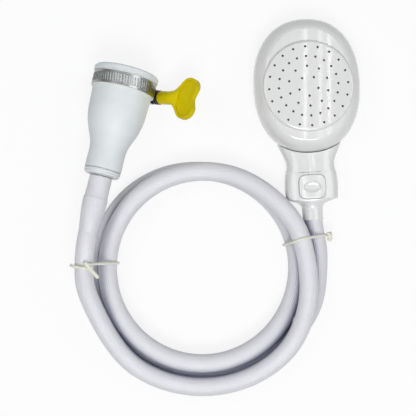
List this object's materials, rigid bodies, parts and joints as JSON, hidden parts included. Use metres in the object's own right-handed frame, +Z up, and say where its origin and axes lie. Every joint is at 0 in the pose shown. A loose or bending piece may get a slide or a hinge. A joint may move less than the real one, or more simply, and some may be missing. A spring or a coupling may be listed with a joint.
{
  "type": "handheld bath sprayer",
  "caption": "Handheld pet bath sprayer: egg-shaped spray head with stop button, coiled flexible hose with ties, and a push-on tap adapter with a worm band clamp and wing key.",
  "frame": {"origin": "on the table, below the middle of the rigid pieces' bounding box, the hose and its ties left out", "axes": "+Z up from the table, +Y towards the top of the spray head as it lies, +X from the tap adapter to the spray head"},
  "size_m": [0.2005, 0.2624, 0.049],
  "materials": {
    "gloss_white": "moulded, high gloss",
    "cup_rubber": "soft matte, faintly blue white",
    "hose_vinyl": "satin, fine flutes along the hose",
    "band_steel": "rolled strip",
    "screw_steel": "plain turned",
    "yellow_plastic": "moulded, satin gloss",
    "black_plastic": "moulded, dull",
    "inner_plastic": "moulded, plain",
    "seal_rubber": "soft black",
    "tie_paper": "coated wire, cream white"
  },
  "bodies": {
    "sprayer": {"head_front_shell": "gloss_white", "head_back_shell": "gloss_white", "face_seal": "seal_rubber", "flow_plate": "inner_plastic", "shell_screws": "screw_steel", "neck_seal": "seal_rubber", "valve_housing": "gloss_white", "spool_cap": "inner_plastic", "button_spring": "screw_steel", "hose_nut": "gloss_white", "barb_washer": "seal_rubber", "handset_barb": "inner_plastic", "hose_tail_handset": "hose_vinyl", "hose_coil": "hose_vinyl", "hose_tail_tap": "hose_vinyl", "hose_cuff": "hose_vinyl", "tap_spigot": "inner_plastic", "tie_left": "tie_paper", "tie_right": "tie_paper"},
    "stop_button": {"stop_button": "gloss_white", "spool_seals": "seal_rubber"},
    "tap_adapter": {"tap_cup": "cup_rubber", "cup_neck_ring": "cup_rubber", "inlet_seal": "seal_rubber", "tap_filter": "screw_steel", "clamp_band": "band_steel", "clamp_housing": "band_steel"},
    "clamp_screw": {"worm_screw": "screw_steel", "thrust_collar": "black_plastic", "wing_key": "yellow_plastic"},
    "band_end": {"band_tail": "band_steel"}
  },
  "joints": [
    {"name": "button_press", "type": "slide", "parent": "sprayer", "child": "stop_button", "axis": [0, 0, -1], "range_m": [0, 0.0022], "stiffness_N_per_m": 900, "springref_m": -0.001, "deforming": ["button_spring"]},
    {"name": "adapter_swivel", "type": "hinge", "parent": "sprayer", "child": "tap_adapter", "pos_m": [-0.0782, -0.02556, 0.03291], "axis": [-0.2283, -0.9659, 0.1219], "continuous": true},
    {"name": "screw_turn", "type": "hinge", "parent": "tap_adapter", "child": "clamp_screw", "pos_m": [-0.05025, 0.01692, 0.00754], "axis": [0.742, -0.0916, 0.6641], "range_deg": [-720, 720]},
    {"name": "band_travel", "type": "hinge", "parent": "tap_adapter", "child": "band_end", "pos_m": [-0.06667, 0.02322, 0.02676], "axis": [-0.2283, -0.9659, 0.1219], "range_deg": [-10.4, 10.4]}
  ],
  "couplings": [
    {"joint": "band_travel", "follows": "screw_turn", "ratio": 0.014242}
  ]
}
